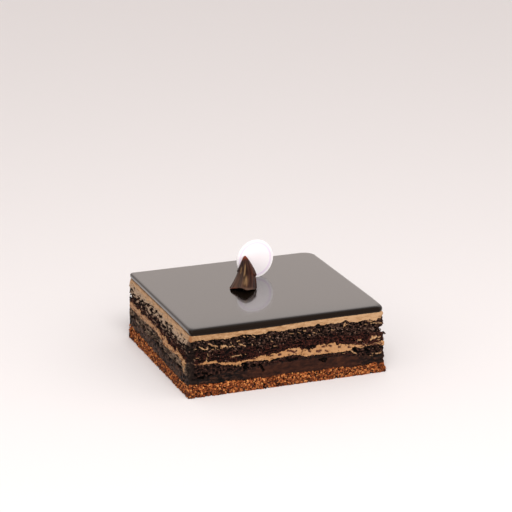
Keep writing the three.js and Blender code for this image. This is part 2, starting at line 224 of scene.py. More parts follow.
def seam_edge(name, seed):
    """The seam's edge, one point for each column."""
    seam = SEAMS[name]
    points, ways = block_outline(seam.round)
    left, right, front, back = seam.out
    x = points[:, 0] + ways[:, 0] * np.where(ways[:, 0] < 0, left, right)
    y = points[:, 1] + ways[:, 1] * np.where(ways[:, 1] < 0, front, back)
    flat = np.column_stack([x, y, np.zeros(COLUMNS)])
    fine = 0.9 * cloud(flat, 1.7, seed + 1) + 0.9 * cloud(flat, 0.9, seed + 2)
    broad = 1.3 * cloud(flat, 5, seed) + 0.7 * cloud(flat, 2.6, seed + 3)
    height = seam_height(seam, x, y)
    side, along = side_place(flat, ways)
    drawn = np.zeros(COLUMNS)
    for line_side, half in ((FRONT_SIDE, HALF_LENGTH), (LEFT_SIDE, HALF_DEPTH)):
        line = CUT_LINES.get((name, line_side))
        if line:
            weight = step(half - np.abs(along), 0, CORNER_BLEND) * (side == line_side)
            height = height + weight * (np.interp(along, *zip(*line)) - height)
            drawn = np.maximum(drawn, weight)
    loose = 1 - drawn * (1 - LEFT_LOOSENESS * (side == LEFT_SIDE))
    return np.column_stack([x, y, height + seam.ragged * (0.75 * fine + loose * broad)])


EDGES = {name: seam_edge(name, seed=20 + 3 * index) for index, name in enumerate(SEAMS)}

# ---------- modelling ----------


def set_mode(mode):
    bpy.ops.object.mode_set(mode=mode)


def select_nothing():
    if bpy.context.object and bpy.context.object.mode != "OBJECT":
        set_mode("OBJECT")
    bpy.ops.object.select_all(action="DESELECT")


def named(name):
    piece = bpy.context.object
    piece.name = name
    piece.data.name = name
    return piece


def get_points(piece):
    points = np.empty(len(piece.data.vertices) * 3)
    piece.data.vertices.foreach_get("co", points)
    return points.reshape(-1, 3)


def set_points(piece, points):
    piece.data.vertices.foreach_set("co", (points * MM).astype(np.float32).ravel())
    piece.data.update()


def set_values(piece, values):
    """Gives each vertex the values that the finishes read by name."""
    for name, value in values.items():
        attribute = piece.data.attributes.new(name, "FLOAT", "POINT")
        attribute.data.foreach_set("value", np.asarray(value, np.float32))


def smooth_below(degrees):
    bpy.ops.object.shade_smooth_by_angle(angle=math.radians(degrees))


def tube(name, columns, rows):
    """A closed drum of radius and height 1, with that many columns round it and rows up it: the piece, its
    points, their turns, and which of them are its ends' middles."""
    select_nothing()
    bpy.ops.mesh.primitive_cylinder_add(
        vertices=columns, radius=1, depth=1, end_fill_type="TRIFAN", location=(0, 0, 0),
    )
    piece = named(name)
    set_mode("EDIT")
    bpy.ops.mesh.select_mode(type="EDGE")
    bpy.ops.mesh.select_all(action="DESELECT")
    set_mode("OBJECT")
    places = piece.data.vertices
    for edge in piece.data.edges:
        a, b = edge.vertices
        edge.select = abs(places[a].co.z - places[b].co.z) > 0.5
    set_mode("EDIT")
    bpy.ops.mesh.subdivide(number_cuts=rows - 1)
    set_mode("OBJECT")
    points = get_points(piece)
    turn = np.arctan2(points[:, 1], points[:, 0])
    return piece, points, turn, np.hypot(points[:, 0], points[:, 1]) < 0.5


def drum(name, rows):
    """A tube with a column for each point of the outline: the piece, each vertex's column and its share of
    the way up, and which are its ends' middles."""
    piece, points, turn, middle = tube(name, COLUMNS, rows)
    column = np.round(turn / (2 * math.pi) * COLUMNS).astype(int) % COLUMNS
    return piece, column, points[:, 2] + 0.5, middle


# ---------- what is drawn on the cut sides ----------

# Strokes on the front, each as half a thickness and then the (x, z) places along it: cream in the sponges,
# crumbs in the lower cream, and hollows.
SPONGE_CREAM = [
    (0.3, (-66.2, 34.3), (-64.8, 34.6)),
    (0.36, (-62.6, 35.7), (-60.8, 34.6), (-58.6, 33.2), (-57.4, 33.6), (-56.6, 35)),
    (0.4, (-56, 37.2), (-54.6, 36.6), (-53.6, 35.5), (-50.4, 34.8), (-50, 34.3)),
    (0.26, (-51.8, 34.4), (-50.8, 33.2)), (0.2, (-53.8, 33), (-52.6, 32.8)),
    (0.26, (-49.8, 32.4), (-48.8, 31.8)),
    (0.36, (-47.6, 33), (-47.2, 34.4), (-45.6, 34.7), (-44, 34.4), (-42.8, 33)),
    (0.5, (-46.6, 33.4), (-45, 34)), (0.24, (-41.6, 33.5), (-40.2, 33.2)),
    (0.26, (-39.6, 33.9), (-38.6, 33.2), (-37.6, 32.9)), (0.24, (-40.4, 36.4), (-40.2, 35.4)),
    (0.28, (-36, 36.2), (-34, 36.6)), (0.42, (-34.4, 34.2), (-32.6, 33.6), (-31, 33), (-30.4, 32.3)),
    (0.3, (-31.2, 39.2), (-30.2, 38.6)), (0.24, (-28.6, 38.9), (-28.2, 38.5)),
    (0.28, (-25, 38.7), (-23.8, 37.8), (-23, 37.4)), (0.22, (-29.2, 34.4), (-28.4, 34)),
    (0.22, (-25.4, 33.2), (-25, 32.6)), (0.3, (-13.6, 36), (-12.6, 36.8)),
    (0.24, (-11.6, 33.4), (-10.6, 32.8)),
    (0.2, (-41.2, 26.1), (-39, 25.9), (-37.2, 26.4), (-35, 26.1), (-33.4, 26.6), (-32.8, 25.9)),
    (0.18, (-30.4, 26.4), (-29.6, 26.2)), (0.34, (-66.8, 27.4), (-66, 27.3)),
    (0.2, (-65, 28.2), (-63.2, 28)), (0.2, (-56.8, 30.4), (-56.4, 28.6)),
    (0.3, (-57.6, 24.8), (-57.3, 27.2)), (0.12, (-10, 29.6), (-7.4, 29.2)), (0.14, (1, 37), (4.6, 36.6)),
    (0.26, (8, 36.8), (9.2, 36)), (0.32, (12, 37.4), (13.2, 37.2)), (0.22, (17.2, 37.2), (18.4, 37.5)),
    (0.22, (18.6, 35.6), (21, 34.6)), (0.16, (22.6, 37.6), (23.2, 36.2)), (0.24, (15.6, 34.2), (16.4, 34)),
    (0.22, (32, 35.8), (33.6, 35.3)), (0.34, (41, 36.2), (41.4, 38.6), (42, 39.2)),
    (0.42, (42, 37.6), (43.8, 38.6)), (0.42, (51.6, 25.8), (53.8, 25.5)), (0.6, (60.8, 24.9), (62.2, 25.4)),
    (0.75, (62.2, 26.8), (63.6, 25.9), (65, 26.6)), (0.4, (66.6, 25.8), (68, 26.2)),
    (0.24, (60.6, 36.7), (64.6, 36.5), (68.6, 36)), (0.26, (58.4, 38.9), (60.4, 38.3), (62, 38.2)),
    (0.2, (56.6, 36.2), (58.4, 36.3)), (0.18, (66, 24.1), (69, 24.3)),
]
LOWER_SPONGE_CREAM = [
    (0.3, (64.8, 14.2), (67.2, 14.2), (69.6, 14.6)), (0.24, (62.2, 14.8), (63.2, 14.5)),
    (0.18, (60.6, 13.2), (62.8, 13)), (0.3, (57, 12.6), (58.2, 12.6)),
    (0.36, (46.4, 19.6), (47.4, 18.2), (48.8, 16.9), (50.6, 16.2)), (0.26, (-34.4, 18.9), (-33.2, 18.9)),
    (0.2, (-37, 19.4), (-35.8, 18.8)), (0.24, (-28.6, 14.6), (-27.6, 14.4)),
    (0.16, (40.4, 17.6), (41.8, 17.5)),
]
CREAM_CRUMBS = [
    (0.61, (0, 24.6), (2.6, 24.6), (5.2, 23)), (0.58, (5.8, 23.4), (6.6, 24.2)),
    (0.87, (-6, 22.9), (-5, 22.9)), (0.43, (-12.4, 22.6), (-10.6, 22.9)), (0.52, (-25, 22.5), (-23.4, 22.3)),
    (0.32, (-37.6, 21.8), (-36.8, 21.6)), (0.72, (15.6, 22.6), (16.6, 22.2)),
    (0.8, (21.4, 21.8), (22.6, 21.2), (24.2, 21.9)), (0.61, (25.4, 24.4), (27, 24.5)),
    (0.58, (27.8, 21.4), (29.4, 20.4)), (0.61, (30.4, 24.7), (31.8, 24)), (0.61, (37.4, 22.5), (38.6, 22.3)),
    (0.52, (44.4, 21.6), (46, 21.3)), (0.43, (64, 21), (65.6, 21.2)), (0.26, (10.4, 22.2), (11, 23.6)),
]
HOLLOWS = [
    (1.2, (-31.4, 19.4), (-30.4, 17.2), (-30.6, 15.8)), (0.5, (-29.4, 18.8), (-28.2, 16.6)),
    (0.75, (-20, 17.8), (-18.4, 15.6), (-17.2, 13)), (0.4, (-24.6, 18.6), (-23, 17.4)),
    (1, (1.6, 17.8), (6.8, 18.3)), (0.55, (23.4, 15.3), (25.2, 15)),
    (0.85, (26, 15.7), (28.2, 15.2), (27.4, 13.8)), (0.4, (25.4, 13.8), (26.6, 13.6)),
    (0.8, (48.2, 21.4), (49.2, 19.6), (50.6, 17.7)), (0.6, (-62.6, 14), (-60, 13.6)),
    (0.5, (-60.4, 17), (-57, 16)), (0.4, (-66, 16.8), (-64.6, 15.4)), (0.5, (57, 18.6), (59.6, 17)),
    (0.5, (62.6, 19.2), (64.4, 17.6)),
]
# Hollows, bare crumb and cream on the left side, with their places as (-y, z).
LEFT_HOLLOWS = [
    (1.1, (-36.5, 18), (-31.5, 19)), (1, (-19, 18), (-13, 20.4), (-9, 18.6), (-4, 17.4), (2, 16.6)),
    (0.8, (-8, 21), (-4, 19.2)), (1.3, (7, 22), (7.4, 18.6), (9, 15.4), (13.6, 14.8)),
    (1, (31, 17.6), (36, 18.2)), (0.9, (42, 16), (48, 16.8)), (0.7, (24, 15), (28, 15.2)),
    (1.5, (55, 21), (56.4, 17.6), (60, 16.4)), (0.8, (-54, 14), (-49, 13.2)), (0.7, (-62, 17.6), (-57, 17)),
]
LEFT_PITS = [
    (0.8, (46.6, 40.2), (50, 40.4)), (0.7, (51.6, 38.8), (54, 38.6)), (1.1, (-6.6, 38.6), (-3.6, 39.2)),
    (1, (2, 37.6), (5.6, 38.6), (8, 39.2)), (0.7, (-15, 39.6), (-9, 40.4)), (0.9, (-17, 37), (-12, 38.4)),
    (1, (14, 37.2), (20, 38.6)), (0.8, (24, 38.4), (29, 39.6)), (0.8, (-26, 37.4), (-19, 38.8)),
    (0.9, (-37, 36.6), (-31, 36)), (0.7, (-45, 36.2), (-40, 37.2)), (1.3, (-60, 38), (-56, 36.8)),
    (0.9, (10, 33.6), (15, 34)), (0.8, (23, 35.8), (27, 36.2)),
]
LEFT_CREAM = [
    (1.1, (44, 23), (49, 23.4), (51.8, 22)), (0.7, (49, 23.4), (55.4, 24)),
    (1.2, (50.8, 20.8), (52.6, 19.4), (52.4, 18.2)), (0.8, (52.8, 16.8), (53.8, 16)),
    (0.4, (51.4, 14.8), (54.8, 14.2)), (0.35, (-20.4, 15.8), (-18, 16.8)),
]
LEFT_CREAM_CRUMBS = [
    (0.9, (22, 26.6), (24, 25.6)), (0.9, (26.4, 26.4), (29.6, 25.4)), (1.3, (32.6, 26.6), (36.4, 25.4)),
    (0.9, (6.6, 26.6), (8.4, 24), (9, 21.8)), (0.6, (-7, 28), (-4, 26.4)), (0.6, (-38, 26.4), (-33, 27.4)),
]


def scattered_strokes(seed, count, lengths, half, low, high):
    """Short strokes at random places between two heights, for a side that has none of its own."""
    draw = np.random.default_rng(seed)
    strokes = []
    for _ in range(count):
        x = draw.uniform(-62, 62)
        z = draw.uniform(low, high)
        length = draw.uniform(*lengths)
        dip = draw.uniform(-0.7, 0.7) * length
        bend = draw.uniform(-0.6, 0.6)
        thickness = half * draw.uniform(0.4, 1.5)
        strokes.append((thickness, (x, z), (x + length / 2, z + dip / 2 + bend), (x + length, z + dip)))
    return strokes


class Wall:
    """The cut side of one layer: a place, a side and a share of the layer's height for each vertex."""

    def __init__(self, points, ways, share):
        self.points = points
        self.x, self.y, self.z = points.T
        self.share = share
        self.side, self.along = side_place(points, ways)
        self.front = self.side == FRONT_SIDE
        self.waver = self.cloud(0.9, 0.9, 3)
        self.left = step(-self.x, HALF_LENGTH - 1.6, HALF_LENGTH - 0.4)
        # The left front corner is darker: 1 on a narrow band that widens below the upper cream.
        low = 1 - step(self.z, 37, 41.5)
        far = np.hypot(self.x + HALF_LENGTH, (1 - 0.3 * low) * (self.y + HALF_DEPTH))
        reach = 0.8 + 2.0 * low
        self.corner = 1 - step(far + (0.4 + 0.8 * low) * self.cloud(3, 9, 4) - reach, 0, 2.4)

    def cloud(self, across, up, seed):
        """Noise with bumps of that width and height."""
        return cloud(self.points, (across, across, up), seed)

    def grain(self, size, seed):
        """Torn crumb: rounded grains, from about -1 to 1."""
        return 0.8 * self.cloud(size, 0.75 * size, seed) + 0.6 * self.cloud(0.5 * size, 0.42 * size, seed + 1)

    def gaps(self, size, seed):
        """The gaps between grains, sunk and darkened as painted shade by the reliefs: 1 in a gap and 0 off
        it.
        """
        return step(self.cloud(size, 0.6 * size, seed), 0.1, 0.32)

    def pulled(self, seed):
        """The left side was pulled, not cut: broad light and dark flecks lie along it, from about -1 to 1."""
        return 1.5 * self.left * (self.cloud(4.5, 1.3, seed) + 0.7 * self.cloud(2.4, 0.8, seed + 1))

    def drawn(self, strokes):
        """1 on the strokes and 0 off them, with an edge that wavers."""
        field = np.zeros(len(self.z))
        for half, *places in strokes:
            for (ax, az), (bx, bz) in zip(places, places[1:]):
                squared = (bx - ax) ** 2 + (bz - az) ** 2
                share = np.clip(((self.along - ax) * (bx - ax) + (self.z - az) * (bz - az)) / squared, 0, 1)
                far = np.hypot(self.along - ax - share * (bx - ax), self.z - az - share * (bz - az))
                field = np.maximum(field, 1 - step(far + 0.6 * half * self.waver, 0.75 * half, 1.25 * half))
        return field

    def strokes(self, front, left, seed, **kind):
        """The strokes of the front and the left side, and scattered ones like them on the other two."""
        field = np.zeros(len(self.z))
        for side in range(4):
            lines = {FRONT_SIDE: front, LEFT_SIDE: left}.get(side) or scattered_strokes(seed + side, **kind)
            field += (self.side == side) * self.drawn(lines)
        return field

    def lower_marks(self):
        """What runs on through the lower sponge and the ganache: hollows, and on the left side pulled flecks
        and a thin grey smear of cream, lighter in part as painted sheen."""
        hollow = self.strokes(HOLLOWS, LEFT_HOLLOWS, 50, count=7, lengths=(1, 4), half=0.6, low=15, high=20)
        pulled = self.pulled(43)
        # The smear on the left side is grey, lighter in part as painted sheen.
        smear_and_sheen = self.left * np.clip(0.24 + 0.5 * self.cloud(8, 3, 15) + 0.22 * pulled, 0, 1)
        return hollow, pulled, smear_and_sheen * (1 - hollow)


# What is torn out of the right front corner and the left back one: height, reach up and down, and depth.
# The last is a lump, so its depth is below 0.
FRONT_BITES = [(31.9, 1.3, 2.6), (29.8, 0.9, 1.8)]
BACK_BITES = [(31.6, 1.6, 1.6), (39.6, 0.8, -0.8)]


def bitten(height, bites):
    return sum(depth * bell(height, middle, reach) for middle, reach, depth in bites)


def torn_corners(wall):
    """How deep the right front corner and the left back one are torn away."""
    at_front = step(wall.x, 65, 68.5) * (1 - step(wall.y, -61, -55))
    at_back = step(-wall.x, 65, 69) * step(wall.y, 56, 62)
    return bitten(wall.z, FRONT_BITES) * at_front + bitten(wall.z, BACK_BITES) * at_back


# Every relief below gives how far each vertex stands out, and the values that the finishes read: cream,
# crumb, a smear on the left side that is lighter in part as painted sheen, open, coarse and rich from 0 to 1,
# and tone from about -1, dark, to 1, light. The numbers given to a cloud are its bumps' width and height and
# its seed.


def upper_sponge_relief(wall):
    torn = 0.45 * wall.cloud(9, 5, 5)
    crumb = 1.15 * wall.grain(1.25, 6)
    open_line = wall.share + 0.25 * wall.cloud(9, 3, 9)
    openness = step(open_line, 0.3, 0.6)
    gaps = wall.gaps(1.9, 8) * (0.5 + 0.5 * openness)
    slits = step(wall.cloud(7, 0.9, 30), 0.3, 0.5) * step(-open_line, -0.55, -0.3)
    cream = wall.strokes(
        SPONGE_CREAM, LEFT_CREAM, 40, count=18, lengths=(0.4, 5), half=0.34, low=31, high=38.5,
    )
    # Light flecks on the open crumb: partly bits of cream, partly painted glints where light catches the
    # crumb's ridges.
    flecks = step(wall.cloud(1.2, 0.55, 10), 0.3, 0.46) * openness * (1 - gaps)
    flecks = flecks * step(wall.cloud(12, 5, 31), -0.35, 0.15)
    pits = wall.drawn(LEFT_PITS) * (wall.side == LEFT_SIDE)
    pulled = wall.pulled(41)
    film_line = wall.z - SMEAR_LINE + (4.5 - 3.4 * step(wall.along, 18, 34)) * pulled
    # Cream smeared up over the sponge on the left side, lighter in part as painted sheen.
    smear_and_sheen = wall.left * step(film_line, -1.2, 1.6) * (1 - pits)
    smear_and_sheen = np.maximum(smear_and_sheen, 0.8 * wall.left * step(pulled, 0.3, 0.7) * step(wall.z, 27, 34))
    depth = (torn + 0.7 * crumb - 1.1 * gaps - 0.9 * slits) * (1 - 0.6 * smear_and_sheen) - 0.2 - pits
    depth = depth * (1 - 0.7 * cream) + 0.3 * cream - torn_corners(wall)
    lit = 0.18 * wall.x / HALF_LENGTH
    # Gaps, slits and pits are darkened in tone: painted shade in these recesses, partly the moist crumb's own
    # darker colour.
    tone = crumb - 1.7 * gaps - 1.4 * slits - 2.0 * pits + 1.3 * flecks + 0.8 * pulled + lit
    return depth, dict(cream=cream, tone=tone, open=openness, smear_and_sheen=smear_and_sheen)


def lower_sponge_relief(wall):
    torn = 0.3 * wall.cloud(9, 5, 12)
    crumb = wall.grain(1.5, 13)
    gaps = wall.gaps(2.2, 28)
    hollow, pulled, smear_and_sheen = wall.lower_marks()
    cream = wall.strokes(
        LOWER_SPONGE_CREAM, LEFT_CREAM, 60, count=5, lengths=(1.5, 5), half=0.25, low=14, high=20,
    )
    smooth = step(0.42 - wall.share + 0.25 * wall.waver, 0, 0.3) * wall.front
    smooth = smooth * step(wall.along, -22, -14) * step(-wall.along, -52, -46)
    depth = torn + (0.6 * crumb - 0.9 * gaps) * (1 - 0.75 * smooth) - 2.2 * hollow * (1 - cream) - 0.15
    # Gaps and hollows are darkened in tone: painted shade in these recesses, partly the crumb's own darker
    # colour.
    tone = (crumb - 1.6 * gaps) * (1 - 0.7 * smooth) - 2.0 * hollow + 0.8 * pulled
    return depth, dict(cream=cream, tone=tone, open=0.8 * (1 - smooth), smear_and_sheen=smear_and_sheen)


def ganache_relief(wall):
    drag = 0.12 * wall.cloud(14, 1.6, 16)
    broad = 0.15 * wall.cloud(11, 6, 17)
    hollow, pulled, smear_and_sheen = wall.lower_marks()
    left_end = step(-wall.along, 18, 40)
    ends = np.maximum(left_end, 0.85 * step(wall.along, 48, 58))
    top = step(wall.share + 0.1 * wall.waver, 0.8, 0.96)
    coarse = np.maximum(np.maximum(wall.left, wall.front * ends), 0.7 * top)
    specks = top * (1.3 * step(wall.cloud(1.2, 0.7, 39), 0.25, 0.42) - 0.8 * wall.gaps(1.6, 40))
    streaks = left_end * wall.front * wall.cloud(7, 1.1, 37)
    rough = coarse * (0.4 * wall.grain(2.0, 18) - 0.6 * wall.gaps(3.0, 35))
    # Hollows, and the gaps in the rough parts and specks, are darkened in tone as painted shade in these
    # recesses.
    tone = 1.5 * drag + broad - 2.0 * hollow + 1.1 * rough + 0.8 * pulled + 0.7 * streaks + specks
    return broad + drag + rough - 2.0 * hollow, dict(tone=tone, smear_and_sheen=smear_and_sheen, coarse=coarse)


def cream_relief(wall, is_lower):
    drag = 0.12 * wall.cloud(8, 0.9, 19)
    broad = 0.2 * wall.cloud(6, 3, 20)
    fine = 0.08 * wall.cloud(0.8, 0.8, 21)
    bits = step(wall.cloud(1.5, 1.1, 22), 0.25, 0.42)
    pulled = wall.pulled(45)
    if is_lower:
        crumb = wall.strokes(
            CREAM_CRUMBS, LEFT_CREAM_CRUMBS, 70, count=24, lengths=(0.5, 2.2), half=0.4, low=21.5, high=27,
        )
        left_end = wall.front * step(-wall.along + 2 * wall.waver, 59, 64)
        right_end = wall.front * step(wall.along, 50, 56)
        at_back = wall.left * step(wall.y, -9, 3)
        mottle = wall.cloud(3.4, 1.5, 46)
        for more in (
            bits * step(np.abs(wall.share - 0.5) * 2, 0.2, 0.8),
            left_end * step(wall.cloud(1.6, 1.2, 36), -0.25, 0.1),
            0.85 * right_end * step(wall.cloud(1.7, 0.8, 47), -0.12, 0.15),
            0.7 * wall.left * step(-pulled, 0.5, 0.8),
            0.7 * wall.left * step(mottle, 0.15, 0.4),
        ):
            crumb = np.maximum(crumb, more)
        # A grey smear on the left side towards the back, lighter in part as painted sheen.
        smear_and_sheen = at_back * (0.3 + step(0.35 - wall.share - pulled, -0.2, 0.5))
        pulled = pulled + 0.9 * at_back - 0.9 * wall.left * (mottle + 0.3)
        bulge = 0
    else:
        crumb = np.maximum(bits, wall.drawn(LEFT_PITS)) * wall.left * step(-wall.share, -0.6, -0.1)
        # A grey smear low on the left side, lighter in part as painted sheen.
        smear_and_sheen = wall.left * step(0.4 - wall.share - 0.7 * pulled, 0, 0.5)
        bulge = 0.6 * step(wall.x, *RIGHT_END) * bell(wall.share, 0.6, 0.3)
    depth = broad + drag + fine - 0.7 * crumb + 0.1 + bulge
    lit = 0.13 + 0.43 * wall.x / HALF_LENGTH + 0.6 * wall.left
    tone = 3 * drag + 4 * fine + broad + lit + 0.9 * pulled
    rich = np.full(len(wall.z), float(is_lower))
    return depth, dict(crumb=crumb, tone=tone, smear_and_sheen=np.clip(smear_and_sheen, 0, 1), rich=rich)


def base_relief(wall):
    crumb = wall.grain(1.7, 25)
    gaps = wall.gaps(2.2, 27)
    depth = 0.35 * wall.cloud(6, 4, 24) + 0.8 * crumb - 1.2 * gaps - 0.6
    # The gaps between grains are darkened in tone as painted shade.
    return depth, dict(tone=crumb - 1.4 * gaps)


LAYERS = [
    ("crunch_base", "underside", "base_top", "crisp_base", base_relief),
    ("ganache", "base_top", "ganache_top", "ganache", ganache_relief),
    ("lower_sponge", "ganache_top", "lower_cream_bottom", "chocolate_sponge", lower_sponge_relief),
    ("lower_cream", "lower_cream_bottom", "lower_cream_top", "coffee_cream",
     lambda wall: cream_relief(wall, is_lower=True)),
    ("upper_sponge", "lower_cream_top", "upper_cream_bottom", "chocolate_sponge", upper_sponge_relief),
    ("upper_cream", "upper_cream_bottom", "glaze_bottom", "coffee_cream",
     lambda wall: cream_relief(wall, is_lower=False)),
]


def cut_layer(node, lower, upper, relief):
    """A layer with fine cut sides, laid between its two seams."""
    thickness = SEAMS[upper].level - SEAMS[lower].level
    piece, column, share, middle = drum(node + "_cut", max(MIN_ROWS, round(thickness / ROW)))
    low = EDGES[lower][column]
    points = low + (EDGES[upper][column] - low) * share[:, None]
    points[middle, :2] = 0
    for seam, at_end in ((lower, share < 0.5), (upper, share > 0.5)):
        points[middle & at_end, 2] = seam_height(SEAMS[seam], 0, 0)
    ways = OUTWARD[column]
    wall = Wall(points, ways, share)
    depth, values = relief(wall)
    at_right_end = step(wall.x, *RIGHT_END) * (1 - step(wall.y, -60, -50))
    depth = depth + 0.7 * at_right_end * wall.cloud(5, 1.6, 48)
    points[:, :2] += ways * np.where(middle, 0, depth)[:, None]
    set_values(piece, values | dict(corner=wall.corner))
    set_points(piece, points)
    smooth_below(60)
    return piece


# ---------- crumbs and flakes ----------

# Crumbs that stand out at the right end of the front, as (x, y, z) and a size.
CORNER_CRUMBS = [
    ((69.9, -62.9, 27.9), 1.0), ((70.6, -62.8, 28.3), 0.75), ((71.1, -62.6, 28.8), 0.6),
    ((71.4, -62.6, 27.9), 0.65), ((72.1, -62.4, 27.5), 0.6), ((72.8, -62.2, 27.2), 0.5),
    ((70.3, -62.8, 26.8), 0.6), ((70.0, -63.2, 35.4), 0.7), ((70.2, -63.4, 24.6), 0.6),
    ((70.6, -63.0, 22.0), 0.5), ((69.8, -63.2, 37.4), 0.5),
]
UPPER_CRUMBS = 700
LOWER_CRUMBS = 233
BASE_FLAKES = 3600
TORN = Sizes(left=67, back=-58, low=28.5, high=35)  # the torn corner, where no crumb is put at random


def stone(seed, squash, detail):
    """One small lump with a broken outline: its points and its faces."""
    select_nothing()
    bpy.ops.mesh.primitive_ico_sphere_add(subdivisions=detail, radius=1, location=(0, 0, 0))
    piece = named("stone")
    points = get_points(piece)
    lumpy = 1 + 0.45 * cloud(points, 1.1, seed) + 0.2 * cloud(points, 0.5, seed + 1)
    points = points * lumpy[:, None] * np.array([1, 1, squash])
    faces = np.array([face.vertices for face in piece.data.polygons])
    bpy.data.objects.remove(piece)
    return points, faces


def heap(name, stones, spots, draw, extra):
    """One mesh of many lumps, each at its own place, size and turn, and of its own tone."""
    all_points = []
    all_faces = []
    tones = []
    count = 0
    for place, way, size in spots:
        points, faces = stones[draw.integers(len(stones))]
        turn = draw.uniform(0, 2 * math.pi)
        tilt = np.array([way[0], way[1], 0]) + 0.5 * draw.normal(size=3)
        tilt /= np.linalg.norm(tilt)
        first = math.cos(turn) * np.array([-way[1], way[0], 0]) + math.sin(turn) * UP
        first -= tilt * (first @ tilt)
        first /= np.linalg.norm(first)
        lengths = size * draw.uniform(0.75, 1.25, size=3)
        placed = place + (points * lengths) @ np.array([first, np.cross(tilt, first), tilt])
        placed[:, 2] = np.maximum(placed[:, 2], 0)
        all_points.append(placed)
        all_faces.append(faces + count)
        tones.append(np.full(len(points), draw.uniform(-1, 1)))
        count += len(points)
    mesh = bpy.data.meshes.new(name)
    mesh.from_pydata((np.vstack(all_points) * MM).tolist(), [], np.vstack(all_faces).tolist())
    piece = bpy.data.objects.new(name, mesh)
    bpy.context.scene.collection.objects.link(piece)
    set_values(piece, dict(tone=np.concatenate(tones)) | {key: np.full(count, extra[key]) for key in extra})
    select_nothing()
    piece.select_set(True)
    bpy.context.view_layer.objects.active = piece
    smooth_below(40)
    return piece


def spots_on_side(draw, count, lower, upper, shares, sizes, outset):
    """Random places on the cut side between two seams, with their outward directions and sizes."""
    spots = []
    for _ in range(count):
        column = draw.integers(COLUMNS)
        share = draw.uniform(*shares)
        place = EDGES[lower][column] * (1 - share) + EDGES[upper][column] * share
        way = OUTWARD[column]
        size = draw.uniform(*sizes)
        in_torn_corner = place[0] > TORN.left and place[1] < TORN.back and TORN.low < place[2] < TORN.high
        if not in_torn_corner:
            place[:2] += way * (outset + draw.uniform(-0.2, 0.2))
            spots.append((place, way, size))
    return spots


def sponge_crumbs():
    draw = np.random.default_rng(81)
    spots = spots_on_side(
        draw, UPPER_CRUMBS, "lower_cream_top", "upper_cream_bottom",
        shares=(0.03, 0.98), sizes=(0.3, 0.75), outset=-0.15,
    )
    spots += spots_on_side(
        draw, LOWER_CRUMBS, "ganache_top", "lower_cream_bottom",
        shares=(0.3, 1.0), sizes=(0.3, 0.6), outset=-0.1,
    )
    spots += [(np.array(place), np.array([1.0, 0.0]), size) for place, size in CORNER_CRUMBS]
    stones = [stone(seed, squash=0.8, detail=2) for seed in range(200, 206)]
    return heap("sponge_crumbs", stones, spots, draw, dict(open=0.8))


def base_flakes():
    draw = np.random.default_rng(82)
    spots = spots_on_side(
        draw, BASE_FLAKES, "underside", "base_top", shares=(0.07, 0.97), sizes=(0.45, 1.0), outset=-0.25,
    )
    stones = [stone(seed, squash=0.45, detail=1) for seed in range(210, 218)]
    return heap("base_flakes", stones, spots, draw, {})


# ---------- finishes ----------


def tint(look):
    """A colour as it looks, (red, green, blue) from 0 to 255, in the linear values that shaders take.

    Anything else, such as a number, a socket or a colour of four linear values, stays as it is."""
    if not isinstance(look, tuple) or len(look) != 3:
        return look
    shares = [value / 255 for value in look]
    return tuple(s / 12.92 if s <= 0.04045 else ((s + 0.055) / 1.055) ** 2.4 for s in shares) + (1.0,)


class Nodes:
    """A node tree, with short ways to add to it. Values and colours may also be other nodes' outputs."""

    def __init__(self, tree):
        self.tree = tree

    def node(self, kind, inputs, **settings):
        made = self.tree.nodes.new("ShaderNode" + kind)
        for key, value in settings.items():
            setattr(made, key, value)
        for key, value in inputs.items():
            if isinstance(value, bpy.types.NodeSocket):
                self.tree.links.new(value, made.inputs[key])
            else:
                made.inputs[key].default_value = value
        return made

    def out(self, kind, inputs, output=0, **settings):
        return self.node(kind, inputs, **settings).outputs[output]

    def maths(self, operation, a, b=0.0, c=0.0):
        return self.out("Math", {0: a, 1: b, 2: c}, operation=operation)

    def mix(self, amount, a, b):
        return self.out("Mix", {0: amount, 6: tint(a), 7: tint(b)}, 2, data_type="RGBA")

    def spread(self, value, low, high, to_low=0.0, to_high=1.0):
        """Maps low..high to to_low..to_high, and clamps."""
        return self.out("MapRange", {0: value, 1: low, 2: high, 3: to_low, 4: to_high})

    def attribute(self, name):
        return self.out("Attribute", {}, "Fac", attribute_name=name)

    def ramp(self, value, *stops):
        made = self.node("ValToRGB", {0: value})
        band = made.color_ramp.elements
        for index in (0, -1):
            band[index].position = stops[index][0]
            band[index].color = tint(stops[index][1])
        for place, look in stops[1:-1]:
            band.new(place).color = tint(look)
        return made.outputs[0]


def grain_group():
    """Noise on the piece's own place in millimetres, stretched along the cut: a broad and a fine value."""
    tree = bpy.data.node_groups.new("cut_grain", "ShaderNodeTree")
    for name, way in (("Size", "INPUT"), ("Flatness", "INPUT"), ("Broad", "OUTPUT"), ("Fine", "OUTPUT")):
        tree.interface.new_socket(name, in_out=way, socket_type="NodeSocketFloat")
    given = tree.nodes.new("NodeGroupInput").outputs
    taken = tree.nodes.new("NodeGroupOutput").inputs
    make = Nodes(tree)
    place = make.out("TexCoord", {}, "Object")
    flat = make.out("CombineXYZ", {0: 1.0, 1: 1.0, 2: given["Flatness"]})
    per_bump = make.maths("DIVIDE", 1 / MM, given["Size"])
    size = make.out("VectorMath", {0: flat, "Scale": per_bump}, operation="SCALE")
    moved = make.out("VectorMath", {0: place, 1: size}, operation="MULTIPLY")
    for name, scale, detail in (("Broad", 1.0, 3.0), ("Fine", 3.1, 2.0)):
        inputs = {"Vector": moved, "Scale": scale, "Detail": detail, "Roughness": 0.6}
        tree.links.new(make.out("TexNoise", inputs), taken[name])
    return tree


GRAIN = grain_group()


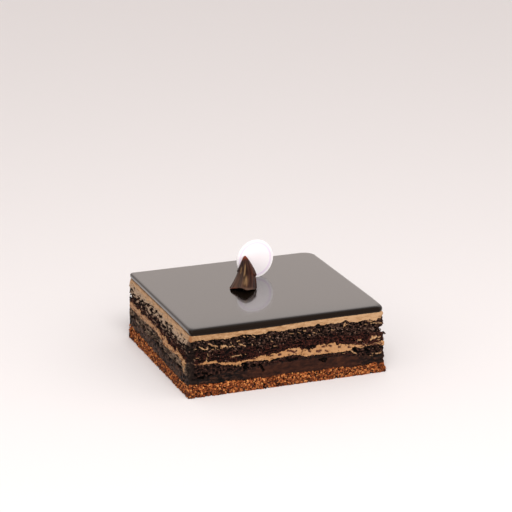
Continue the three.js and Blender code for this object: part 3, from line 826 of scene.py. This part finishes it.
class Finish(Nodes):
    """A new material, with its nodes and its shader's inputs."""

    def __init__(self, name, **constants):
        self.material = bpy.data.materials.new(name)
        self.material.use_nodes = True
        super().__init__(self.material.node_tree)
        self.shader = self.tree.nodes["Principled BSDF"].inputs
        for key, value in constants.items():
            self.shader[key.replace("_", " ")].default_value = tint(value)

    def grain(self, size, flatness):
        return self.node("Group", {"Size": size, "Flatness": flatness}, node_tree=GRAIN).outputs

    def tone(self, factor, offset, grain=None, reach=0.0):
        """The piece's tone times factor, plus offset and the grain."""
        tone = self.maths("MULTIPLY_ADD", self.attribute("tone"), factor, offset)
        return self.maths("ADD", tone, self.spread(grain, 0.3, 0.7, -reach, reach)) if grain else tone

    def between(self, grain, dark, light):
        return self.mix(self.spread(grain, 0.35, 0.65), dark, light)

    def cover(self, base, name, share, look):
        """The base colour with another over it, by a share of the piece's value of that name."""
        return self.mix(self.maths("MULTIPLY", self.attribute(name), share), base, look)

    def coloured(self, base):
        self.tree.links.new(base, self.shader["Base Color"])
        return self.material

    def bumpy(self, height, strength, distance):
        bump = self.out("Bump", {"Height": height, "Strength": strength, "Distance": distance * MM})
        self.tree.links.new(bump, self.shader["Normal"])


def sponge_finish():
    make = Finish("chocolate_sponge_crumb", Roughness=0.85, Specular_IOR_Level=0.1)
    broad, fine = make.grain(1.6, 1.3)
    make.bumpy(fine, 0.4, 0.3)
    tone = make.tone(0.39, 0.49, fine, 0.15)
    torn = make.ramp(
        tone, (0.08, (4, 2, 2)), (0.42, (23, 11, 8)), (0.64, (55, 35, 27)), (0.95, (116, 94, 80)),
    )
    dense = make.ramp(
        tone, (0.08, (5, 2, 2)), (0.42, (30, 11, 8)), (0.64, (61, 27, 19)), (0.95, (100, 56, 42)),
    )
    base = make.mix(make.attribute("open"), dense, torn)
    # The smear on the left side: cream, greyer and lighter in part as painted sheen.
    base = make.cover(base, "smear_and_sheen", 0.85, make.between(fine, (132, 107, 88), (212, 187, 160)))
    base = make.cover(base, "cream", 1, make.between(broad, (150, 109, 71), (184, 150, 112)))
    return make.coloured(make.cover(base, "corner", 0.85, (24, 16, 13)))


def cream_finish():
    make = Finish("coffee_cream_cut", Roughness=0.6, Specular_IOR_Level=0.25)
    broad, fine = make.grain(3.5, 3.0)
    make.bumpy(fine, 0.25, 0.25)
    tone = make.tone(0.3, broad, fine, 0.1)
    rich = make.attribute("rich")
    base = make.ramp(tone, (0.3, (135, 98, 62)), (0.5, (158, 121, 84)), (0.7, (176, 141, 104)))
    base = make.cover(base, "rich", 0.4, (170, 114, 62))
    brown = make.between(fine, (96, 64, 44), (168, 130, 98))
    grey = make.between(fine, (112, 92, 74), (190, 168, 140))
    # The smear on the left side, grey on the upper cream and brown on the lower, lighter in part as painted
    # sheen.
    base = make.cover(base, "smear_and_sheen", 0.7, make.mix(rich, grey, brown))
    base = make.cover(base, "crumb", 1, make.mix(rich, (34, 17, 12), (66, 24, 10)))
    return make.coloured(make.cover(base, "corner", 0.95, make.mix(rich, (130, 84, 48), (36, 20, 14))))


def ganache_finish():
    make = Finish("ganache_cut", Roughness=0.6, Specular_IOR_Level=0.1)
    broad, fine = make.grain(5.0, 2.5)
    make.bumpy(fine, 0.2, 0.2)
    tone = make.tone(0.35, broad)
    smooth = make.ramp(tone, (0.2, (14, 5, 3)), (0.45, (40, 18, 10)), (0.75, (64, 34, 20)))
    rough = make.ramp(tone, (0.2, (3, 1, 1)), (0.45, (21, 9, 5)), (0.75, (60, 36, 25)))
    base = make.mix(make.attribute("coarse"), smooth, rough)
    # The smear on the left side, lighter in part as painted sheen.
    base = make.cover(base, "smear_and_sheen", 0.7, make.between(fine, (56, 39, 32), (132, 102, 84)))
    return make.coloured(make.cover(base, "corner", 0.7, (22, 13, 10)))


def base_finish():
    make = Finish("crisp_base_crumb", Roughness=0.7, Specular_IOR_Level=0.2)
    broad, fine = make.grain(1.2, 1.0)
    make.bumpy(fine, 0.4, 0.3)
    tone = make.tone(0.36, 0.5, broad, 0.14)
    base = make.ramp(
        tone, (0.1, (18, 6, 1)), (0.35, (86, 37, 12)), (0.62, (148, 77, 33)), (0.95, (209, 143, 81)),
    )
    return make.coloured(make.cover(base, "corner", 0.5, (40, 20, 12)))


# ---------- glaze ----------

# The glaze's side from its lower edge up and in over the top: how far out from its seam, and how high between
# the seam, at 0, and the top, at 1.
GLAZE_SIDE = [
    (-0.1, 0.0), (0.25, 0.04), (0.5, 0.2), (0.6, 0.4), (0.45, 0.62), (0.05, 0.82), (-0.6, 0.95), (-1.5, 1.0),
    (-3.0, 1.0), (-6.0, 1.0), (-11.0, 1.0), (-18.0, 1.0), (-28.0, 1.0), (-42.0, 1.0),
]
GLAZE_ROWS = 65
GLAZE_SOFTNESS = 0.06  # how far along its side, as a share, its corners are rounded
LEFT_SHOULDER = 0.5  # how much tighter the glaze's shoulder is on the left side, from 0 to 1
RIM_DROP = 1.0  # how much lower the glaze's top is at its front edge than further in
RIM_DROP_REACH = 9.0
# The glaze has run off its two front corners: side of X, how much lower it is there, and how far round.
CORNER_DIPS = [(-1, 0.3, 3.0), (1, 0.5, 3.5)]


def glaze_profile(share):
    """The glaze's side by a share of its length: a smooth line through the places above."""
    lengths = np.linspace(0, 1, len(GLAZE_SIDE))
    profile = np.zeros((2, len(share)))
    for moved, weight in ((-GLAZE_SOFTNESS, 0.25), (0.0, 0.5), (GLAZE_SOFTNESS, 0.25)):
        for line, places in enumerate(zip(*GLAZE_SIDE)):
            profile[line] += weight * np.interp(np.clip(share + moved, 0, 1), lengths, places)
    out, up = profile
    return out, np.where(share >= 1, 1, np.minimum(up, 1))


def mirror_glaze():
    piece, column, share, middle = drum("glaze_mirror", GLAZE_ROWS)
    ways = OUTWARD[column]
    out, up = glaze_profile(share)
    up = up ** (1 - LEFT_SHOULDER * np.maximum(-ways[:, 0], 0))
    points = EDGES["glaze_bottom"][column]
    low = points[:, 2].copy()
    points[:, :2] += ways * np.maximum(out, 0)[:, None]
    points[:, :2] *= (1 + np.minimum(out, 0) / HALF_DEPTH)[:, None]
    inward = HALF_DEPTH - np.abs(points[:, 1])
    drop = RIM_DROP * np.exp(-np.maximum(inward, 0) / RIM_DROP_REACH) * (points[:, 1] < 0)
    for side_x, dip, reach in CORNER_DIPS:
        far = np.hypot(points[:, 0] - side_x * HALF_LENGTH, points[:, 1] + HALF_DEPTH)
        drop += dip * bell(far, 0, reach)
    points[:, 2] = low + (GLAZE_TOP - drop - low) * up
    points[middle, :2] = 0
    points[middle & (share < 0.5), 2] = seam_height(SEAMS["glaze_bottom"], 0, 0)
    points[middle & (share > 0.5), 2] = GLAZE_TOP
    set_points(piece, points)
    set_values(piece, dict(side=1 - step(up, 0.8, 1.0)))
    smooth_below(50)
    return piece


def glaze_finish():
    make = Finish(
        "mirror_glaze_black", Roughness=0.04, IOR=1.7, Coat_IOR=1.7, Coat_Roughness=0.14,
        Base_Color=(24, 17, 12), Specular_Tint=(0, 0, 0, 1),
    )
    facing = make.out("LayerWeight", {"Blend": 0.5}, "Facing")
    on_top = make.spread(facing, 0.25, 0.65, 0.6, 1.0)
    on_side = make.spread(facing, 0.25, 0.65, 0.05, 0.2)
    gloss = make.out("Mix", {0: make.attribute("side"), 2: on_top, 3: on_side}, data_type="FLOAT")
    make.tree.links.new(gloss, make.shader["Coat Weight"])
    return make.material


# ---------- card ----------

CARD_RADIUS = 14.0
CARD_THICKNESS = 1.2
CARD_SUNK = 0.5  # how deep its edge sits in the glaze
CARD_CENTRE = (9.9, 22.4, GLAZE_TOP - CARD_SUNK + CARD_RADIUS)
CARD_TURN = math.radians(5)
CARD_RING = 0.85  # radius of the printed ring, as a share of the card's


def round_card():
    select_nothing()
    bpy.ops.mesh.primitive_cylinder_add(
        vertices=160, radius=CARD_RADIUS * MM, depth=CARD_THICKNESS * MM, end_fill_type="NGON",
        location=[value * MM for value in CARD_CENTRE], rotation=(math.pi / 2, 0, CARD_TURN),
    )
    piece = named("topper_card_round")
    bpy.ops.object.transform_apply(location=True, rotation=True, scale=True)
    edge = piece.modifiers.new("edge", "BEVEL")
    edge.width = 0.12 * MM
    edge.segments = 2
    edge.limit_method = "ANGLE"
    bpy.ops.object.modifier_apply(modifier=edge.name)
    smooth_below(30)
    return piece


def card_finish():
    make = Finish("white_card_print", Roughness=0.5, Specular_IOR_Level=0.4)
    place = make.out("TexCoord", {}, "Object")
    centre = tuple(value * MM for value in CARD_CENTRE)
    distance = make.out("VectorMath", {0: place, 1: centre}, "Value", operation="DISTANCE")
    radius = make.maths("DIVIDE", distance, CARD_RADIUS * MM)
    off_ring = make.maths("ABSOLUTE", make.maths("SUBTRACT", radius, CARD_RING))
    paper = make.mix(make.spread(radius, 0.2, 0.8), (240, 235, 239), (243, 241, 244))
    return make.coloured(make.mix(make.spread(off_ring, 0.01, 0.07, 1.0, 0.0), paper, (232, 219, 238)))


# ---------- curl ----------

# The curl opens from its tip, high against the card, down to its rim near the glaze, run away in plan.
# heading is its way in plan, in degrees from +X. half_width and arch are its sizes at the rim, and spread is
# the power by which it opens to them. ridge is how sharp its crown is, crown_reach how much further the crown
# reaches, blunt how near its rows come to the tip, and core its least size inside.
CURL = Sizes(
    tip=(1.6, 20.2), tip_height=17.3, rim_height=0.56, run=25.6, heading=246.8, half_width=9.0, arch=6.1,
    spread=0.6, bow=1.3, crown_reach=0.15, ridge=0.7, wall=0.9, core=0.2, flutes=7, flute_depth=0.3,
    flute_turn=0.6, blunt=0.012, clearance=0.3,
)
CURL_STATIONS = 90
CURL_RIBS = 180
STATION_CROWDING = 1.4  # how much closer its rows are near the tip
# The rim isn't even: right of the crown, at turn and width in degrees, a tongue of it reaches forward and
# lifts. Its feet are set back, further on the right by skew, and its left half is lifted and spread a little.
# All of this sets in by a power of the distance from the tip, pull.
RIM = Sizes(
    turn=18, width=28, reach=6.1, lift=0.8, set_back=3.9, skew=0.5, left_lift=0.5, left_spread=0.8, pull=3,
)
# The sheet has cracked across: above the crack it stands proud of what is below.
CRACK_SHARE = 0.53  # its place, as a share of the way from tip to rim
CRACK_SLANT = 0.07
CRACK_LIFT = 0.9


def curl_crack(share, turn):
    """How far the cracked upper part of the curl stands proud, from 0 to 1."""
    places = np.column_stack([8 * turn, 0 * turn, 0 * turn])
    crack = CRACK_SHARE + CRACK_SLANT * np.sin(turn) + 0.012 * cloud(places, 1.0, 61)
    return step(share, 0.12, CRACK_SHARE) * (1 - step(share, crack - 0.004, crack + 0.004))


def curl_places(share, turn, inward):
    """Points on the curl, by share of the way from tip to rim and by turn from its crown, in radians."""
    drop = CURL.tip_height - CURL.rim_height
    heading = math.radians(CURL.heading)
    slope = math.atan2(drop, CURL.run)
    level = np.array([math.cos(heading), math.sin(heading), 0])
    sideways = np.array([-math.sin(heading), math.cos(heading), 0])
    along = level * math.cos(slope) - UP * math.sin(slope)
    above = level * math.sin(slope) + UP * math.cos(slope)
    right = np.sin(turn)
    crown = np.cos(turn)
    reach = share * (1 + CURL.crown_reach * crown * share) * math.hypot(drop, CURL.run)
    opened = share**CURL.spread
    proud = CRACK_LIFT * curl_crack(share, turn) * (0.1 + 0.9 * right**2) * (inward == 0)
    flute = CURL.flute_depth * share * np.cos(CURL.flutes * turn + CURL.flute_turn) + proud
    width = np.maximum(CURL.half_width * opened + flute - inward, CURL.core)
    rise = np.maximum(CURL.arch * opened + flute - inward, CURL.core)
    pull = share**RIM.pull
    tongue = bell(np.degrees(turn), RIM.turn, RIM.width)
    to_left = pull * RIM.left_spread * np.maximum(-right, 0)
    aside = width * right + CURL.bow * np.sin(math.pi * share) - to_left
    forward = pull * (RIM.reach * tongue - RIM.set_back - RIM.skew * right)
    upward = pull * (RIM.lift * tongue + RIM.left_lift * (1 - right) * np.maximum(crown, 0))
    points = np.tile([*CURL.tip, GLAZE_TOP + CURL.tip_height], (len(share), 1))
    for way, shift in (
        (along, reach), (sideways, aside), (above, rise * crown * np.abs(crown) ** CURL.ridge),
        (level, forward), (UP, upward),
    ):
        points += way * shift[:, None]
    points[:, 2] = np.maximum(points[:, 2], GLAZE_TOP + CURL.clearance + inward)
    return points


def curl_marks(share, turn, is_outer):
    """Where the curl is red, has painted highlights and is grey, each from 0 to 1, and its tone: by share of
    the way from tip to rim, and by degrees from its crown, with its right side above 0. The grey holds a
    painted highlight along the rim, and the inner sheet's tone is the darkest, as painted shade."""
    places = np.column_stack([5 * turn, 1.5 * share, 0 * turn])
    streak = cloud(places, 1.0, 62)
    fine = cloud(places * np.array([2.6, 2.0, 1.0]), 1.0, 63)
    degrees = np.degrees(turn)
    tip = 1 - step(share + 0.06 * fine + 0.04 * streak, 0.06, 0.2)
    side = 0.6 * step(np.abs(degrees), 50, 85) * (1 - step(share, 0.2, 0.45))
    rim = 0.5 * step(share, 0.975, 0.985) * (1 - step(degrees, -40, -10))
    low_right = 0.12 * step(degrees, 18, 40) * step(share, 0.2, 0.35) * (1 - 0.5 * step(share, 0.55, 0.8))
    # Painted highlights on the outer sheet: a streak along the crown, a second one left of it, and a broad
    # patch lower down.
    high = 0.8 * bell(degrees, -6, 4.5) * step(share, 0.26, 0.4) * (1 - step(share, 0.6, 0.72))
    second_highlight = 0.5 * bell(degrees, -34, 5) * step(share, 0.34, 0.44) * (1 - step(share, 0.54, 0.62))
    highlight_patch = bell(degrees, 7, 10) * step(share, 0.6, 0.78) * (1 - step(share, 0.84, 0.96)) * (0.6 + 0.8 * fine)
    grey = step(-degrees + 20 * streak, -5, 35) * step(share, 0.4, 0.85) * (0.7 + 0.8 * fine)
    # A painted highlight along the rim's right part, put into the grey.
    rim_highlight = bell(degrees, 22, 34) * step(share, 0.93, 0.96)
    return dict(
        red=is_outer * np.maximum.reduce([tip, side, rim, low_right]),
        painted_highlight=is_outer * np.clip(high + second_highlight + highlight_patch, 0, 1),
        grey=is_outer * np.clip(np.maximum(grey, rim_highlight), 0, 1),
        # The inner sheet's tone is -1, the darkest, as painted shade inside the roll.
        tone=np.where(is_outer, 0.8 * streak + 1.2 * fine, -1),
    )


def chocolate_curl():
    """A fluted roll from one tube, whose outer sheet runs from tip to rim and whose inner one runs back."""
    last_row = 2 * CURL_STATIONS - 1
    piece, grid, turn, middle = tube("chocolate_curl_roll", CURL_RIBS, last_row)
    row = np.round((grid[:, 2] + 0.5) * last_row)
    is_outer = row < CURL_STATIONS
    station = np.where(is_outer, row, last_row - row) / (CURL_STATIONS - 1)
    share = np.maximum(station**STATION_CROWDING, CURL.blunt)
    points = curl_places(share, turn, np.where(is_outer, 0, CURL.wall))
    for sheet in (is_outer, ~is_outer):
        tip = sheet & (station == 0)
        points[tip & middle] = points[tip & ~middle].mean(axis=0)
    set_points(piece, points)
    set_values(piece, curl_marks(share, turn, is_outer))
    set_mode("EDIT")
    bpy.ops.mesh.select_all(action="SELECT")
    bpy.ops.mesh.normals_make_consistent(inside=False)
    set_mode("OBJECT")
    smooth_below(40)
    return piece


def curl_finish():
    make = Finish("curl_chocolate_scraped", Roughness=0.4, Specular_IOR_Level=0.07)
    _, fine = make.grain(1.4, 1.0)
    make.bumpy(fine, 0.15, 0.1)
    # Tone -1, given to the inner sheet, gives its near-black painted shade.
    base = make.ramp(make.tone(0.4, 0.45), (0.15, (10, 4, 3)), (0.45, (32, 16, 11)), (0.85, (74, 46, 34)))
    # Grey, mostly on the left half, with a painted highlight along the rim.
    base = make.cover(base, "grey", 0.6, (104, 80, 66))
    # Painted highlights along the crown.
    base = make.cover(base, "painted_highlight", 1, (142, 111, 78))
    return make.coloured(make.cover(base, "red", 0.85, (124, 46, 20)))


# ---------- floor, light and camera ----------


def pale_floor():
    select_nothing()
    bpy.ops.mesh.primitive_plane_add(size=12, location=(0, 0, 0))
    piece = named("floor")
    make = Finish("pale_floor", Roughness=0.8, Specular_IOR_Level=0.1, Base_Color=(235, 232, 232))
    piece.data.materials.append(make.material)


FRONT_GLOW = 0.9  # how much brighter the studio is in front of the cake than behind it
# The studio's light from the floor's level to straight above, in linear values.
STUDIO_GLOW = [
    (0.0, (0.86, 0.8, 0.78, 1)), (0.26, (0.82, 0.73, 0.69, 1)), (0.36, (0.96, 0.86, 0.81, 1)),
    (0.46, (1.15, 1.05, 1.0, 1)), (0.65, (0.6, 0.57, 0.56, 1)), (1.0, (0.45, 0.44, 0.44, 1)),
]


def soft_light():
    world = bpy.data.worlds.new("studio")
    world.use_nodes = True
    bpy.context.scene.world = world
    make = Nodes(world.node_tree)
    _, nearer, height = make.node("SeparateXYZ", {0: make.out("TexCoord", {}, "Generated")}).outputs
    strength = make.maths("MULTIPLY_ADD", make.spread(nearer, 0.0, -1.0), FRONT_GLOW, 1.0)
    background = make.tree.nodes["Background"].inputs
    make.tree.links.new(make.ramp(height, *STUDIO_GLOW), background["Color"])
    make.tree.links.new(strength, background["Strength"])
    lamp = bpy.data.lights.new("key", "AREA")
    lamp.shape = "RECTANGLE"
    lamp.size = 0.9
    lamp.size_y = 0.6
    lamp.energy = 14.0
    key = bpy.data.objects.new("key", lamp)
    key.location = (-0.25, -1.0, 1.2)
    key.rotation_euler = (-key.location).to_track_quat("-Z", "Y").to_euler()
    bpy.context.scene.collection.objects.link(key)


EYE = Vector((-0.50699, -1.32461, 0.52845))
YAW = math.radians(-21.025)
PITCH = math.radians(17.825)
LENS = 151.74
SENSOR_WIDTH = 36


def studio_camera():
    data = bpy.data.cameras.new("camera")
    data.lens = LENS
    data.sensor_width = SENSOR_WIDTH
    data.clip_end = 50
    camera = bpy.data.objects.new("camera", data)
    forward = Vector((-math.sin(YAW) * math.cos(PITCH), math.cos(YAW) * math.cos(PITCH), -math.sin(PITCH)))
    camera.location = EYE
    camera.rotation_euler = forward.to_track_quat("-Z", "Y").to_euler()
    bpy.context.scene.collection.objects.link(camera)
    bpy.context.scene.camera = camera


# ---------- the cake ----------


def place_piece(piece, node, material):
    piece.data.materials.append(material)
    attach(piece, "root")
    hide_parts(node)


bpy.context.scene.view_settings.view_transform = "Standard"
FINISHES = {
    "crisp_base": base_finish(),
    "ganache": ganache_finish(),
    "chocolate_sponge": sponge_finish(),
    "coffee_cream": cream_finish(),
}
for node, lower, upper, slot, relief in LAYERS:
    place_piece(cut_layer(node, lower, upper, relief), node, FINISHES[slot])
place_piece(base_flakes(), "crunch_base", FINISHES["crisp_base"])
place_piece(sponge_crumbs(), "upper_sponge", FINISHES["chocolate_sponge"])
place_piece(mirror_glaze(), "glaze", glaze_finish())
place_piece(round_card(), "topper_card", card_finish())
place_piece(chocolate_curl(), "chocolate_curl", curl_finish())
pale_floor()
soft_light()
studio_camera()
